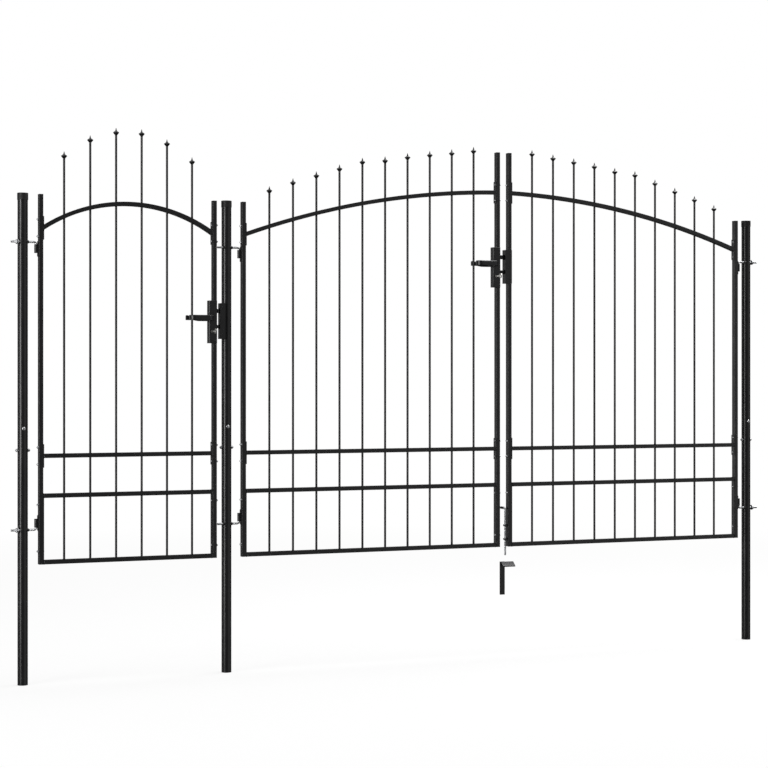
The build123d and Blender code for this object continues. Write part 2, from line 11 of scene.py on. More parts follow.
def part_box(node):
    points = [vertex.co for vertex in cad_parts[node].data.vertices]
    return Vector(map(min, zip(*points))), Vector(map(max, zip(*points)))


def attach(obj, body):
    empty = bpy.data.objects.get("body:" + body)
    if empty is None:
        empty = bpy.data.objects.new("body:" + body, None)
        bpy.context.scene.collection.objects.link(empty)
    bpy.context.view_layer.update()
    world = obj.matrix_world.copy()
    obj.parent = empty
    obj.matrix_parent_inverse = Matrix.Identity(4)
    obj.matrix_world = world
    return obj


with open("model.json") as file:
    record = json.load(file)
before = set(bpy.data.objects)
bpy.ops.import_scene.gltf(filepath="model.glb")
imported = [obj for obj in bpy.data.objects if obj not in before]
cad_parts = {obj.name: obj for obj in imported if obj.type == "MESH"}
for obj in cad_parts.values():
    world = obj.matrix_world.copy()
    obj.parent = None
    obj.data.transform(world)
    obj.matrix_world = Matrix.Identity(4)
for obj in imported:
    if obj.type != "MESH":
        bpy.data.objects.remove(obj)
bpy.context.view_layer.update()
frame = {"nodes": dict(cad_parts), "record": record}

MM = 0.001

# Camera: the photograph is 768 pixels square, with its horizon a little above the middle
IMAGE_SIZE = 768
FOCAL_PIXELS = 1900
HORIZON_ABOVE_MIDDLE = 4.63
SENSOR_WIDTH = 36
CAMERA_PLACE = (-2.930, -8.832, 1.4285)
CAMERA_TILT_DEG = 90
CAMERA_YAW_DEG = 23.094
FAR_CLIP = 400

# Stage and light: white surroundings; what the coat mirrors is pale behind on the left, grey in front on
# the right, pale above and dim elsewhere
FLOOR_SIZE = 300
FLOOR_TONE = 0.9
FLOOR_CENTRE = (1, 0, 0)
FLOOR_GLOW_SHARES = (0.8, 1.0)
FLOOR_GLOW_RADII = (3, 9)
FLOOR_GLOW = 1.0
WHITE = (1, 1, 1, 1)
AMBIENT = 0.55
MIRRORED_DIM = 0.06
MIRRORED_LEFT = 0.85
MIRRORED_RIGHT = 0.5
MIRRORED_TOP = 0.85
LEFT_BEHIND = (-0.6, 0.8, 0)
LEFT_NEARNESS = (0.972, 0.991)
RIGHT_FRONT = (0.72, -0.69, 0)
RIGHT_NEARNESS = (0.78, 0.985)
STRAIGHT_UP = (0, 0, 1)
TOP_NEARNESS = (0.35, 0.9)

# Softboxes: name, place, what it points at, width and height, watts
SOFTBOXES = (
    ("side", (-6.7, -3.1, 2.0), (0.8, 0, 1.4), (3.0, 5.0), 330),
    ("top", (4.3, 0.3, 6.5), (1.5, 0, 0.5), (4.0, 4.0), 370),
)

# Sizes that the fasteners and welds share with the construction
POSTS = ("left", "middle", "right")
POST_RADIUS = 24 * MM
LEAF_Y = -15 * MM
TUBE_FACE = 20 * MM
TUBE_DEPTH = 30 * MM
END_PLATE = 4 * MM
ROD_RADIUS = 5 * MM
HINGE_REACH = 59 * MM
ROD_BEND = 10 * MM
MIDDLE_ROD_TAIL = 51 * MM
SPEAR_COLLAR_RADIUS = 14.5 * MM
BAR_RADIUS = 5.5 * MM
GUIDE_PLATE = 2.5 * MM
GUIDE_HALF_HEIGHT = 9 * MM
EYE_NECK_HALF_WIDTH = 4.5 * MM
EYE_HALF_HEIGHT = 20 * MM
EYE_PLATE_HALF_HEIGHT = 37 * MM
EYE_PLATE = 4 * MM

# Leaves: the stiles at low and at high X, how far below their tops the arch plates sit, number of pickets
SHORT_DROP = 152 * MM
TALL_DROP = 201 * MM
LEAVES = {
    "single_gate": ("hinge_stile", "lock_stile", SHORT_DROP, SHORT_DROP, 6),
    "left_leaf": ("hinge_stile", "lock_stile", SHORT_DROP, TALL_DROP, 10),
    "right_leaf": ("lock_stile", "hinge_stile", TALL_DROP, SHORT_DROP, 10),
}
LOCK_BODIES = {"single": "single_gate", "double": "left_leaf"}

# Fasteners: nuts by hexagon across corners, height, washer and its sheet; round heads by radius and rise
ROUND_SEGMENTS = 32
HEX_SEGMENTS = 6
ROD_NUT = {"corners": 21.5 * MM, "height": 9.5 * MM, "washer": 27 * MM, "sheet": 2.5 * MM}
SPLICE_NUT = {"corners": 15 * MM, "height": 6.5 * MM, "washer": 17 * MM, "sheet": 1.4 * MM}
FRAME_NUT = {"corners": 11.5 * MM, "height": 5 * MM, "washer": 12.5 * MM, "sheet": 1 * MM}
HEX_CHAMFER_SHARE = 0.12
TIP_CHAMFER_SHARE = 0.2
WASHER_SOFT_SHARE = 0.25
DOME_STEPS = 5
DOME_RIM_SHARE = 0.25
BOLT_TIP = 3 * MM
SPLICE_BOLT_RADIUS = 4 * MM
FRAME_BOLT_RADIUS = 3 * MM
FRAME_BOLT_SPACING = 40 * MM
FOOT_BOLT_RISES = (61 * MM, 279 * MM)
FOOT_BOLT_RISES_BEHIND_DROP_BOLT = FOOT_BOLT_RISES[1:]
SPLICE_SIDE_BOLT_RISE = 27 * MM
SPLICE_FRONT_BOLT_RISE = 128 * MM
COACH_HEAD = {"radius": 9 * MM, "rise": 5 * MM}
PLATE_BOLT_HEAD = {"radius": 5.5 * MM, "rise": 3.2 * MM}
ROD_SLEEVE_RADIUS = 7.5 * MM
ROD_SLEEVE_ENDS = (12 * MM, 25 * MM)
ROD_SLEEVE_SOFT = 0.8 * MM
PLATE_SCREW = {"radius": 3.6 * MM, "rise": 1.8 * MM}
GUIDE_SCREW = {"radius": 1.9 * MM, "rise": 1.1 * MM}
LOCK_SCREW_ENDS = (13 * MM, 11 * MM)
KEEP_SCREW_END = 22 * MM
GUIDE_SCREW_RISE = 6.7 * MM
EYE_SCREW_RISE = 28.5 * MM

# Threads on the hinge rods
THREAD_PITCH = 1.5 * MM
THREAD_PROUD = 0.35 * MM
THREAD_SUNK = 0.15 * MM
THREAD_SEGMENTS = 24
THREAD_RINGS_A_TURN = 4

# Weld beads: a bead reaches its full width over a sixth of its length
BEAD_RADIUS = 1.3 * MM
BEAD_RIPPLE = 1.6 * MM
BEAD_RIPPLE_SHARE = 0.22
BEAD_STEPS_A_RIPPLE = 4
BEAD_TAPER_RATE = 6
BEAD_SIDES = 8
RING_BEAD_STEPS = 28
RING_BEAD_LUMPS = 7
STOP_WELD_DROP = 5 * MM

# Shading and softened edges of the CAD nodes
SMOOTH_ANGLE_DEG = 36
WELD_DISTANCE = 0.01 * MM
SOFT_EDGE = 1.2 * MM
SOFT_EDGE_SEGMENTS = 2
SOFT_EDGE_ANGLE_DEG = 50
SOFT_NODES = ("stile", "rail", "rails", "lock_case", "keep", "stake", "plate", "latch", "deadbolt")

# Coats: the noises that vary them, their tones, roughness, shine and relief
NOISE_SPAN = (0.3, 0.7)
COAT_PATCHES = {"scale": 9, "detail": 4}
COAT_DULLNESS = {"scale": 28, "detail": 5}
COAT_PEEL = {"scale": 500, "detail": 2}
COAT_TONES = ((0.0045, 0.0045, 0.005), (0.0075, 0.0075, 0.008))
COAT_ROUGHNESS = (0.27, 0.35)
COAT_SHINE = 0.5
COAT_RELIEF = {"strength": 0.3, "distance": 0.03 * MM}
PLASTIC_PATCHES = {"scale": 30, "detail": 3}
PLASTIC_GRAIN = {"scale": 1800, "detail": 2}
PLASTIC_TONES = ((0.0045, 0.0045, 0.0045), (0.008, 0.008, 0.008))
PLASTIC_ROUGHNESS = (0.48, 0.62)
PLASTIC_SHINE = 0.4
PLASTIC_RELIEF = {"strength": 0.3, "distance": 0.05 * MM}
PLATING_CLOUDS = {"scale": 60, "detail": 4}
PLATING_DULLNESS = {"scale": 220, "detail": 3, "roughness": 0.6}
PLATING_GRAIN = {"scale": 420, "detail": 3, "roughness": 0.6}
PLATING_RELIEF = {"strength": 0.2, "distance": 0.02 * MM}
ZINC = {"tones": ((0.56, 0.57, 0.59), (0.76, 0.77, 0.78)), "roughness": (0.26, 0.42), "stretch": (1, 1, 1)}
NICKEL = {"tones": ((0.60, 0.59, 0.56), (0.74, 0.73, 0.70)), "roughness": (0.2, 0.34), "stretch": (1, 6, 1)}


def new_material(name):
    """A node material with its Principled shader, ready to be wired."""
    material = bpy.data.materials.new(name)
    material.use_nodes = True
    return material, material.node_tree, material.node_tree.nodes["Principled BSDF"]


def noise(tree, scale, detail, roughness=0.5, stretch=(1, 1, 1)):
    """Object-space noise, stretched along an axis if asked; returns its factor socket."""
    place = tree.nodes.new("ShaderNodeTexCoord")
    mapping = tree.nodes.new("ShaderNodeMapping")
    mapping.inputs["Scale"].default_value = stretch
    texture = tree.nodes.new("ShaderNodeTexNoise")
    texture.inputs["Scale"].default_value = scale
    texture.inputs["Detail"].default_value = detail
    texture.inputs["Roughness"].default_value = roughness
    tree.links.new(place.outputs["Object"], mapping.inputs["Vector"])
    tree.links.new(mapping.outputs["Vector"], texture.inputs["Vector"])
    return texture.outputs["Fac"]


def spread(tree, factor, values):
    """Maps a noise factor to a range of plain values."""
    ramp = tree.nodes.new("ShaderNodeMapRange")
    ramp.inputs["From Min"].default_value, ramp.inputs["From Max"].default_value = NOISE_SPAN
    ramp.inputs["To Min"].default_value, ramp.inputs["To Max"].default_value = values
    tree.links.new(factor, ramp.inputs["Value"])
    return ramp.outputs["Result"]


def tint(tree, factor, tones):
    """Mixes a dark and a light colour by a noise factor."""
    ramp = tree.nodes.new("ShaderNodeValToRGB")
    for element, position, tone in zip(ramp.color_ramp.elements, NOISE_SPAN, tones):
        element.position = position
        element.color = (*tone, 1)
    tree.links.new(factor, ramp.inputs["Fac"])
    return ramp.outputs["Color"]


def bump(tree, factor, shader, strength, distance):
    """Fine surface relief from a noise factor."""
    node = tree.nodes.new("ShaderNodeBump")
    node.inputs["Strength"].default_value = strength
    node.inputs["Distance"].default_value = distance
    tree.links.new(factor, node.inputs["Height"])
    tree.links.new(node.outputs["Normal"], shader.inputs["Normal"])


def black_coat():
    """Satin black powder coat: faint orange peel, patches a little duller than others."""
    material, tree, shader = new_material("black_coat")
    colour = tint(tree, noise(tree, **COAT_PATCHES), COAT_TONES)
    tree.links.new(colour, shader.inputs["Base Color"])
    roughness = spread(tree, noise(tree, **COAT_DULLNESS), COAT_ROUGHNESS)
    tree.links.new(roughness, shader.inputs["Roughness"])
    shader.inputs["Specular IOR Level"].default_value = COAT_SHINE
    bump(tree, noise(tree, **COAT_PEEL), shader, **COAT_RELIEF)
    return material


def black_plastic():
    """Matt black moulded plastic with a fine grain."""
    material, tree, shader = new_material("black_plastic")
    grain = noise(tree, **PLASTIC_GRAIN)
    colour = tint(tree, noise(tree, **PLASTIC_PATCHES), PLASTIC_TONES)
    tree.links.new(colour, shader.inputs["Base Color"])
    tree.links.new(spread(tree, grain, PLASTIC_ROUGHNESS), shader.inputs["Roughness"])
    shader.inputs["Specular IOR Level"].default_value = PLASTIC_SHINE
    bump(tree, grain, shader, **PLASTIC_RELIEF)
    return material


def plated(name, tones, roughness, stretch):
    """Plated steel: cloudy tone and a faint drawn grain."""
    material, tree, shader = new_material(name)
    tree.links.new(tint(tree, noise(tree, **PLATING_CLOUDS), tones), shader.inputs["Base Color"])
    drawn = noise(tree, **PLATING_DULLNESS, stretch=stretch)
    tree.links.new(spread(tree, drawn, roughness), shader.inputs["Roughness"])
    shader.inputs["Metallic"].default_value = 1.0
    bump(tree, noise(tree, **PLATING_GRAIN, stretch=stretch), shader, **PLATING_RELIEF)
    return material


MATERIALS = {
    "black_coat": black_coat(),
    "black_plastic": black_plastic(),
    "zinc": plated("zinc", **ZINC),
    "nickel": plated("nickel", **NICKEL),
}


def smooth_by_angle():
    """Geometry nodes that weld a node's mesh and shade it smooth, save at edges that are really sharp."""
    group = bpy.data.node_groups.new("smooth_by_angle", "GeometryNodeTree")
    group.interface.new_socket("Geometry", in_out="INPUT", socket_type="NodeSocketGeometry")
    group.interface.new_socket("Geometry", in_out="OUTPUT", socket_type="NodeSocketGeometry")
    entry = group.nodes.new("NodeGroupInput")
    leave = group.nodes.new("NodeGroupOutput")
    weld = group.nodes.new("GeometryNodeMergeByDistance")
    weld.inputs["Distance"].default_value = WELD_DISTANCE
    smooth = group.nodes.new("GeometryNodeSetShadeSmooth")
    sharp = group.nodes.new("GeometryNodeSetShadeSmooth")
    sharp.domain = "EDGE"
    sharp.inputs["Shade Smooth"].default_value = False
    angle = group.nodes.new("GeometryNodeInputMeshEdgeAngle")
    wide = group.nodes.new("FunctionNodeCompare")
    wide.operation = "GREATER_THAN"
    wide.inputs["B"].default_value = math.radians(SMOOTH_ANGLE_DEG)
    group.links.new(entry.outputs["Geometry"], weld.inputs["Geometry"])
    group.links.new(weld.outputs["Geometry"], smooth.inputs["Geometry"])
    group.links.new(smooth.outputs["Geometry"], sharp.inputs["Geometry"])
    group.links.new(angle.outputs["Unsigned Angle"], wide.inputs["A"])
    group.links.new(wide.outputs["Result"], sharp.inputs["Selection"])
    group.links.new(sharp.outputs["Geometry"], leave.inputs["Geometry"])
    return group


def soften_edges(node):
    """Breaks the sharp edges of tube and plate, as rolled corners and a thick coat do."""
    node.modifiers.new("weld", "WELD").merge_threshold = WELD_DISTANCE
    bevel = node.modifiers.new("soft_edges", "BEVEL")
    bevel.width = SOFT_EDGE
    bevel.segments = SOFT_EDGE_SEGMENTS
    bevel.limit_method = "ANGLE"
    bevel.angle_limit = math.radians(SOFT_EDGE_ANGLE_DEG)


def dress_cad_nodes():
    """Each CAD node shows in its slot's material, with its round faces shaded round."""
    slots = {row["node"]: row["material_slot"] for row in frame["record"]["subparts"]}
    group = smooth_by_angle()
    for name, node in frame["nodes"].items():
        node.data.materials.clear()
        node.data.materials.append(MATERIALS[slots[name]])
        if name.endswith(SOFT_NODES):
            soften_edges(node)
        node.modifiers.new("smooth_by_angle", "NODES").node_group = group
        node.modifiers.new("even_normals", "WEIGHTED_NORMAL").keep_sharp = True


def frame_of(origin, axis):
    """Matrix that takes local +Z to axis, at origin."""
    return Matrix.Translation(origin) @ Vector(axis).to_track_quat("Z", "X").to_matrix().to_4x4()


def lathe(mesh, place, profile, segments):
    """Surface of revolution about local Z from (radius, height) pairs; a zero radius closes an end."""
    rings = []
    for radius, height in profile:
        if radius == 0:
            rings.append([mesh.verts.new(place @ Vector((0, 0, height)))])
            continue
        turns = [2 * math.pi * i / segments for i in range(segments)]
        points = [Vector((radius * math.cos(a), radius * math.sin(a), height)) for a in turns]
        rings.append([mesh.verts.new(place @ point) for point in points])
    join_rings(mesh, rings)


def join_rings(mesh, rings):
    """Faces between rings of vertices, where a ring of one vertex is a closed end."""
    for low, high in zip(rings, rings[1:]):
        count = max(len(low), len(high))
        for i in range(count):
            j = (i + 1) % count
            if len(low) == 1:
                mesh.faces.new((low[0], high[j], high[i]))
            elif len(high) == 1:
                mesh.faces.new((low[i], low[j], high[0]))
            else:
                mesh.faces.new((low[i], low[j], high[j], high[i]))


def add_washer(mesh, place, kit):
    """Flat washer with broken edges, seated at local height 0."""
    radius, sheet = kit["washer"] / 2, kit["sheet"]
    soft = sheet * WASHER_SOFT_SHARE
    lathe(mesh, place, [(0, 0), (radius - soft, 0), (radius, soft), (radius, sheet - soft),
                        (radius - soft, sheet), (0, sheet)], ROUND_SEGMENTS)


def add_hex(mesh, place, kit, tip_radius, tip=BOLT_TIP):
    """Hexagon nut on its washer, its corners chamfered, with the bolt's end standing out of it."""
    add_washer(mesh, place, kit)
    corner, height, seat = kit["corners"] / 2, kit["height"], kit["sheet"]
    chamfer = corner * HEX_CHAMFER_SHARE
    lathe(mesh, place, [(0, seat), (corner - chamfer, seat), (corner, seat + chamfer),
                        (corner, seat + height - chamfer), (corner - chamfer, seat + height),
                        (0, seat + height)], HEX_SEGMENTS)
    if tip:
        top = seat + height
        soft = tip_radius * TIP_CHAMFER_SHARE
        lathe(mesh, place, [(0, top - soft), (tip_radius, top - soft), (tip_radius, top + tip - soft),
                            (tip_radius - soft, top + tip), (0, top + tip)], ROUND_SEGMENTS)


def add_dome(mesh, place, kit):
    """Round-headed screw or coach bolt."""
    radius, rise = kit["radius"], kit["rise"]
    turns = [math.pi / 2 * i / DOME_STEPS for i in range(DOME_STEPS)]
    arc = [(radius * math.cos(a), rise * (DOME_RIM_SHARE + (1 - DOME_RIM_SHARE) * math.sin(a)))
           for a in turns]
    lathe(mesh, place, [(0, 0), (radius, 0), *arc, (0, rise)], ROUND_SEGMENTS)


def add_thread(mesh, place, length):
    """Helical thread about local Z, closed at both ends."""
    ring_count = math.ceil(length / THREAD_PITCH * THREAD_RINGS_A_TURN)
    rings = [[mesh.verts.new(place @ Vector((0, 0, 0)))]]
    for step in range(ring_count + 1):
        height = length * step / ring_count
        ring = []
        for i in range(THREAD_SEGMENTS):
            share = i / THREAD_SEGMENTS
            phase = (height / THREAD_PITCH - share) % 1
            crest = 1 - abs(2 * phase - 1)
            radius = ROD_RADIUS - THREAD_SUNK + (THREAD_SUNK + THREAD_PROUD) * crest
            turn = 2 * math.pi * share
            point = Vector((radius * math.cos(turn), radius * math.sin(turn), height))
            ring.append(mesh.verts.new(place @ point))
        rings.append(ring)
    rings.append([mesh.verts.new(place @ Vector((0, 0, length)))])
    join_rings(mesh, rings)


def add_line_bead(mesh, start, end):
    """Rippled weld bead along a line, drawn in to a point at both ends."""
    run = end - start
    place = frame_of(start, run)
    steps = max(BEAD_STEPS_A_RIPPLE, round(run.length / BEAD_RIPPLE * BEAD_STEPS_A_RIPPLE))
    profile = [(0, 0)]
    for step in range(1, steps):
        share = step / steps
        ripple = 1 + BEAD_RIPPLE_SHARE * math.sin(2 * math.pi * share * run.length / BEAD_RIPPLE)
        taper = min(1, BEAD_TAPER_RATE * share, BEAD_TAPER_RATE * (1 - share))
        profile.append((BEAD_RADIUS * ripple * taper, share * run.length))
    lathe(mesh, place, [*profile, (0, run.length)], BEAD_SIDES)


def add_ring_bead(mesh, centre, radius):
    """Lumpy weld ring round an upright bar."""
    rings = []
    for step in range(RING_BEAD_STEPS):
        turn = 2 * math.pi * step / RING_BEAD_STEPS
        bead = BEAD_RADIUS * (1 + BEAD_RIPPLE_SHARE * math.sin(RING_BEAD_LUMPS * turn))
        ring = []
        for i in range(BEAD_SIDES):
            side = 2 * math.pi * i / BEAD_SIDES
            reach = radius + bead * math.cos(side)
            ring.append(mesh.verts.new(centre + Vector((reach * math.cos(turn), reach * math.sin(turn),
                                                        bead * math.sin(side)))))
        rings.append(ring)
    join_rings(mesh, [*rings, rings[0]])


def piece(name, mesh, slot, body):
    """Turns built geometry into a named object that rides on a body."""
    bmesh.ops.recalc_face_normals(mesh, faces=mesh.faces)
    data = bpy.data.meshes.new(name)
    mesh.to_mesh(data)
    mesh.free()
    data.shade_smooth()
    data.set_sharp_from_angle(angle=math.radians(SMOOTH_ANGLE_DEG))
    data.materials.append(MATERIALS[slot])
    made = bpy.data.objects.new(name, data)
    bpy.context.scene.collection.objects.link(made)
    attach(made, body)


def centre_of(node):
    """Middle of a CAD node's box."""
    low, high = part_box(node)
    return (low + high) / 2


def hinge_heights():
    """Heights of the lower and the upper hinge rods."""
    low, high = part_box("hinge_rods")
    return low.z + ROD_RADIUS, high.z - ROD_RADIUS


def post_splice_bolts():
    """Two bolts through each post's splice: one along the gates, one from front to back."""
    mesh = bmesh.new()
    for post in POSTS:
        x = centre_of(f"{post}_post_upper").x
        splice_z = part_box(f"{post}_post_upper")[0].z
        for way in (-1, 1):
            seat = Vector((x + way * POST_RADIUS, 0, splice_z + SPLICE_SIDE_BOLT_RISE))
            add_hex(mesh, frame_of(seat, (way, 0, 0)), SPLICE_NUT, SPLICE_BOLT_RADIUS)
        front = Vector((x, -POST_RADIUS, splice_z + SPLICE_FRONT_BOLT_RISE))
        add_dome(mesh, frame_of(front, (0, -1, 0)), COACH_HEAD)
        back = Vector((x, POST_RADIUS, splice_z + SPLICE_FRONT_BOLT_RISE))
        add_hex(mesh, frame_of(back, (0, 1, 0)), SPLICE_NUT, SPLICE_BOLT_RADIUS)
    piece("post_splice_bolts", mesh, "zinc", "posts")


def hinge_nuts():
    """A nut and a broad washer on the hinge rods' tails at the outer sides of the outer posts."""
    mesh = bmesh.new()
    for post, way in (("left", -1), ("right", 1)):
        x = centre_of(f"{post}_post_upper").x
        for z in hinge_heights():
            seat = Vector((x + way * POST_RADIUS, LEAF_Y, z))
            add_hex(mesh, frame_of(seat, (way, 0, 0)), ROD_NUT, ROD_RADIUS, tip=0)
    piece("hinge_nuts", mesh, "zinc", "posts")


def hinge_rod_sleeves():
    """Short sleeves set in the posts where the hinge rods leave them without a nut."""
    mesh = bmesh.new()
    start, end = ROD_SLEEVE_ENDS
    radius, soft = ROD_SLEEVE_RADIUS, ROD_SLEEVE_SOFT
    profile = [(0, start), (radius, start), (radius, end - soft), (radius - soft, end), (0, end)]
    for post, ways in (("left", (1,)), ("middle", (-1, 1)), ("right", (-1,))):
        x = centre_of(f"{post}_post_upper").x
        for z in hinge_heights():
            for way in ways:
                lathe(mesh, frame_of(Vector((x, LEAF_Y, z)), (way, 0, 0)), profile, ROUND_SEGMENTS)
    piece("hinge_rod_sleeves", mesh, "black_coat", "posts")


def hinge_rod_threads():
    """Threads on each hinge rod: its tail, and the run between the post and the bend."""
    mesh = bmesh.new()
    low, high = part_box("hinge_rods")
    left_x, middle_x, right_x = (centre_of(f"{post}_post_upper").x for post in POSTS)
    rods = ((left_x, 1, left_x - low.x), (middle_x, 1, MIDDLE_ROD_TAIL), (right_x, -1, high.x - right_x))
    for x, side, tail in rods:
        for z in hinge_heights():
            tail_start = Vector((x - side * POST_RADIUS, LEAF_Y, z))
            add_thread(mesh, frame_of(tail_start, (-side, 0, 0)), tail - POST_RADIUS)
            front_start = Vector((x + side * POST_RADIUS, LEAF_Y, z))
            add_thread(mesh, frame_of(front_start, (side, 0, 0)), HINGE_REACH - ROD_BEND - POST_RADIUS)
    piece("hinge_rod_threads", mesh, "zinc", "posts")


def stile_faces(leaf):
    """Outer face X, way inwards and arch plate height of a leaf's stiles, the one at low X first."""
    low_stile, high_stile, low_drop, high_drop, _ = LEAVES[leaf]
    low_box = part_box(f"{leaf}_{low_stile}")
    high_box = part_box(f"{leaf}_{high_stile}")
    return ((low_box[0].x, 1, low_box[1].z - low_drop), (high_box[1].x, -1, high_box[1].z - high_drop))


def frame_bolts(leaf):
    """Bolts through the end plates and the stiles: a low head inside, a nut and the bolt's end outside."""
    mesh = bmesh.new()
    foot_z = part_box(f"{leaf}_lower_rails")[0].z
    rail_z = centre_of(f"{leaf}_upper_rail").z
    for outer_x, way, arch_z in stile_faces(leaf):
        inner_x = outer_x + way * (TUBE_FACE + END_PLATE)
        behind_drop_bolt = leaf == "right_leaf" and way > 0
        rises = FOOT_BOLT_RISES_BEHIND_DROP_BOLT if behind_drop_bolt else FOOT_BOLT_RISES
        heights = [foot_z + rise for rise in rises]
        for middle in (rail_z, arch_z):
            heights += [middle - FRAME_BOLT_SPACING, middle + FRAME_BOLT_SPACING]
        for z in heights:
            head_seat, nut_seat = Vector((inner_x, LEAF_Y, z)), Vector((outer_x, LEAF_Y, z))
            add_dome(mesh, frame_of(head_seat, (way, 0, 0)), PLATE_BOLT_HEAD)
            add_hex(mesh, frame_of(nut_seat, (-way, 0, 0)), FRAME_NUT, FRAME_BOLT_RADIUS)
    piece(f"{leaf}_frame_bolts", mesh, "zinc", leaf)


def add_rail_weld(mesh, x, z):
    """Beads round the joint of a rail with its end plate."""
    front, back = LEAF_Y - TUBE_DEPTH / 2, LEAF_Y + TUBE_DEPTH / 2
    under, over = z - TUBE_FACE / 2, z + TUBE_FACE / 2
    for y in (front, back):
        add_line_bead(mesh, Vector((x, y, under)), Vector((x, y, over)))
    for edge in (under, over):
        add_line_bead(mesh, Vector((x, front, edge)), Vector((x, back, edge)))


def picket_places(leaf):
    """X of each picket of a leaf."""
    low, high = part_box(f"{leaf}_pickets")
    count = LEAVES[leaf][-1]
    first, last = low.x + SPEAR_COLLAR_RADIUS, high.x - SPEAR_COLLAR_RADIUS
    return [first + (last - first) * i / (count - 1) for i in range(count)]


def leaf_welds(leaf):
    """Beads at the rails' ends, at the pickets' feet and where they pass the straight rails."""
    mesh = bmesh.new()
    low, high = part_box(f"{leaf}_lower_rails")
    upper_z = centre_of(f"{leaf}_upper_rail").z
    lower_zs = (low.z + TUBE_FACE / 2, high.z - TUBE_FACE / 2)
    for outer_x, way, _ in stile_faces(leaf):
        for z in (*lower_zs, upper_z):
            add_rail_weld(mesh, outer_x + way * (TUBE_FACE + END_PLATE), z)
    for x in picket_places(leaf):
        for z in (*lower_zs, upper_z):
            add_ring_bead(mesh, Vector((x, LEAF_Y, z + TUBE_FACE / 2)), BAR_RADIUS)
    piece(f"{leaf}_welds", mesh, "black_coat", leaf)


def hinge_eye_fixings(leaf):
    """Painted screws in the hinge eyes' plates and the beads beside their necks."""
    mesh = bmesh.new()
    low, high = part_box(f"{leaf}_hinge_eyes")
    hinge_on_low = LEAVES[leaf][0] == "hinge_stile"
    way = -1 if hinge_on_low else 1
    plate_x = high.x - EYE_PLATE if hinge_on_low else low.x + EYE_PLATE
    for z in (low.z + EYE_PLATE_HALF_HEIGHT, high.z - EYE_PLATE_HALF_HEIGHT):
        for rise in (-EYE_SCREW_RISE, EYE_SCREW_RISE):
            add_dome(mesh, frame_of(Vector((plate_x, LEAF_Y, z + rise)), (way, 0, 0)), PLATE_SCREW)
        for y in (LEAF_Y - EYE_NECK_HALF_WIDTH, LEAF_Y + EYE_NECK_HALF_WIDTH):
            add_line_bead(mesh, Vector((plate_x, y, z - EYE_HALF_HEIGHT)),
                          Vector((plate_x, y, z + EYE_HALF_HEIGHT)))
    piece(f"{leaf}_eye_fixings", mesh, "black_coat", leaf)


def lock_screws(lock):
    """Screws at the top and the foot of a lock's front and back plate."""
    mesh = bmesh.new()
    low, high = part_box(f"{lock}_lock_case")
    x = high.x - TUBE_FACE / 2
    top_end, foot_end = LOCK_SCREW_ENDS
    for z in (high.z - top_end, low.z + foot_end):
        add_dome(mesh, frame_of(Vector((x, low.y, z)), (0, -1, 0)), PLATE_SCREW)
        add_dome(mesh, frame_of(Vector((x, high.y, z)), (0, 1, 0)), PLATE_SCREW)
    piece(f"{lock}_lock_screws", mesh, "black_coat", LOCK_BODIES[lock])


def keep_screws(lock, body):
    """Screws through the front and the back of a keep."""
    mesh = bmesh.new()
    low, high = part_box(f"{lock}_keep")
    x = low.x + TUBE_FACE / 2 if lock == "single" else high.x - TUBE_FACE / 2
    for z in (low.z + KEEP_SCREW_END, high.z - KEEP_SCREW_END):
        add_dome(mesh, frame_of(Vector((x, low.y, z)), (0, -1, 0)), PLATE_SCREW)
        add_dome(mesh, frame_of(Vector((x, high.y, z)), (0, 1, 0)), PLATE_SCREW)
    piece(f"{lock}_keep_screws", mesh, "black_coat", body)


def drop_guide_screws():
    """Small screws above and below each guide of the drop bolt."""
    mesh = bmesh.new()
    low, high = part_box("drop_bolt_guides")
    for z in (low.z + GUIDE_HALF_HEIGHT, high.z - GUIDE_HALF_HEIGHT):
        for rise in (-GUIDE_SCREW_RISE, GUIDE_SCREW_RISE):
            seat = Vector((high.x - GUIDE_PLATE, LEAF_Y, z + rise))
            add_dome(mesh, frame_of(seat, (-1, 0, 0)), GUIDE_SCREW)
    piece("drop_guide_screws", mesh, "zinc", "right_leaf")


def ground_stop_welds():
    """Two beads across the stake where the sloping plate meets it, one at the plate's top and one below."""
    mesh = bmesh.new()
    stake_low, stake_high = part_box("ground_stop_stake")
    plate_low, plate_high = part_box("ground_stop_plate")
    for z in (plate_high.z - BEAD_RADIUS, plate_high.z - STOP_WELD_DROP):
        add_line_bead(mesh, Vector((plate_low.x, stake_low.y, z)), Vector((stake_high.x, stake_low.y, z)))
    piece("ground_stop_welds", mesh, "black_coat", "posts")


def math_node(tree, operation, *values):
    """A Math node fed by sockets or plain numbers; returns its output."""
    node = tree.nodes.new("ShaderNodeMath")
    node.operation = operation
    for socket, value in zip(node.inputs, values):
        if isinstance(value, (int, float)):
            socket.default_value = value
        else:
            tree.links.new(value, socket)
    return node.outputs["Value"]


def remap(tree, value, from_range, to_range):
    """Maps a socket from one range to another; a range's end may be a socket too."""
    node = tree.nodes.new("ShaderNodeMapRange")
    tree.links.new(value, node.inputs["Value"])
    names = ("From Min", "From Max", "To Min", "To Max")
    for name, end in zip(names, (*from_range, *to_range)):
        if isinstance(end, (int, float)):
            node.inputs[name].default_value = end
        else:
            tree.links.new(end, node.inputs[name])
    return node.outputs["Result"]


def nearness(tree, place, direction):
    """How near the looked-at direction is to a given one, as the cosine of the angle between them."""
    node = tree.nodes.new("ShaderNodeVectorMath")
    node.operation = "DOT_PRODUCT"
    tree.links.new(place.outputs["Generated"], node.inputs[0])
    node.inputs[1].default_value = Vector(direction).normalized()
    return node.outputs["Value"]


